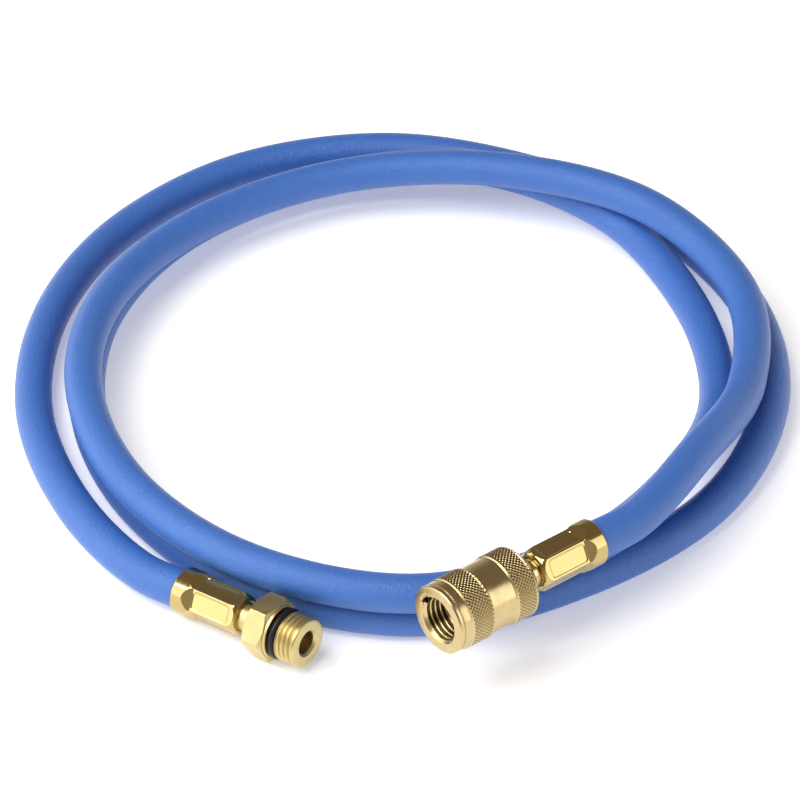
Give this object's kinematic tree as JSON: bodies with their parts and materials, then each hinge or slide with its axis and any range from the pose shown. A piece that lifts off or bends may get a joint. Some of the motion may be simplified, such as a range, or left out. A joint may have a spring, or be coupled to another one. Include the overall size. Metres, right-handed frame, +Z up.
{
  "type": "refrigerant charging hose",
  "caption": "Blue refrigerant charging hose, loosely coiled, with a threaded male fitting on one end and a knurled coupling nut on the other.",
  "frame": {"origin": "centre of the bounding box's bottom, on the floor that the coil lies on", "axes": "+Z up from the floor; +Y along the coil's longer side, away from the two fittings; +X along its shorter side, towards the coupling nut's ferrule"},
  "size_m": [0.2249, 0.2688, 0.0379],
  "materials": {
    "blue_rubber": "satin",
    "polished_brass": "polished",
    "satin_brass": "satin",
    "black_rubber": "matte"
  },
  "bodies": {
    "hose_line": {"hose": "blue_rubber", "ferrule_male_end": "polished_brass", "male_fitting": "satin_brass", "o_ring": "black_rubber", "ferrule_nut_end": "polished_brass", "swivel_stem": "polished_brass", "seal_gasket": "black_rubber"},
    "nut": {"coupling_nut": "satin_brass"}
  },
  "joints": [
    {"name": "nut_swivel", "type": "hinge", "parent": "hose_line", "child": "nut", "pos_m": [0.01963, -0.1184, 0.02769], "axis": [-0.7726, -0.6346, 0.0175], "continuous": true}
  ]
}
